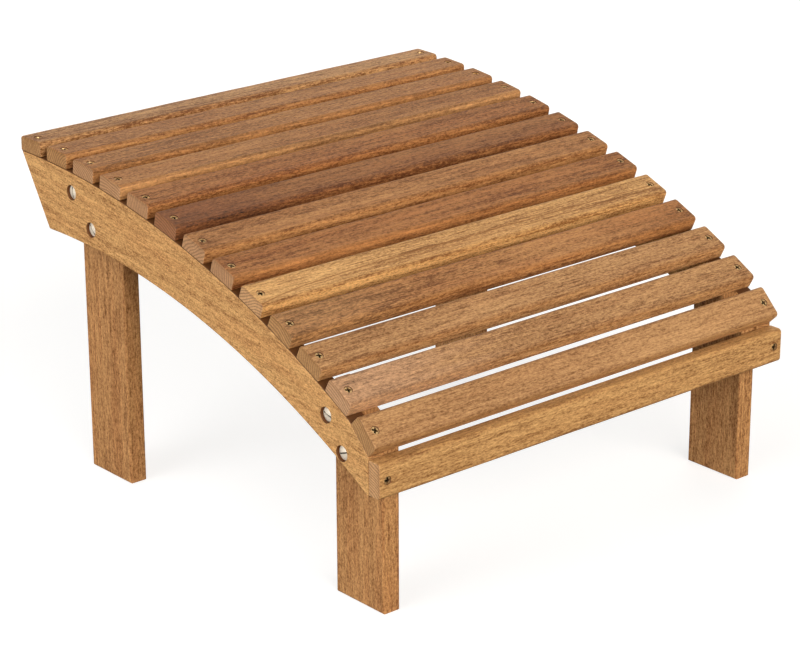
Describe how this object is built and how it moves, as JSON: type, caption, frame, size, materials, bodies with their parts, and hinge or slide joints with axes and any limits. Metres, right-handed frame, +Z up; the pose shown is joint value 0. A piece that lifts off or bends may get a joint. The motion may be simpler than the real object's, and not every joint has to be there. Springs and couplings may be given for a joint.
{
  "type": "slatted garden footstool",
  "caption": "Arched garden footstool: crosswise wooden slats screwed to two curved side rails, which are bolted to four flat board legs, taller at the back than at the front.",
  "frame": {"origin": "on the ground, under the middle of the stool's box", "axes": "+Z up, +Y towards the tall end that stands against the chair, +X to the right for a person looking towards +Y"},
  "size_m": [0.56, 0.591, 0.3616],
  "materials": {
    "rail_wood": "smooth sanded teak, satin, light golden tan with fine dark flecks",
    "leg_wood": "smooth sanded teak, satin, golden brown with upright grain",
    "slat_wood": "smooth sanded teak, satin, mixed boards from light tan to reddish brown",
    "screw_brass": "plain brass, satin",
    "bolt_brass": "pale polished brass"
  },
  "bodies": {
    "root": {"side_rail_left": "rail_wood", "side_rail_right": "rail_wood", "rear_leg_left": "leg_wood", "rear_leg_right": "leg_wood", "front_leg_left": "leg_wood", "front_leg_right": "leg_wood", "slat_01": "slat_wood", "slat_02": "slat_wood", "slat_03": "slat_wood", "slat_04": "slat_wood", "slat_05": "slat_wood", "slat_06": "slat_wood", "slat_07": "slat_wood", "slat_08": "slat_wood", "slat_09": "slat_wood", "slat_10": "slat_wood", "slat_11": "slat_wood", "slat_12": "slat_wood", "slat_13": "slat_wood", "slat_14": "slat_wood", "slat_screws": "screw_brass", "leg_bolts": "bolt_brass", "leg_sleeve_nuts": "bolt_brass"}
  },
  "joints": []
}
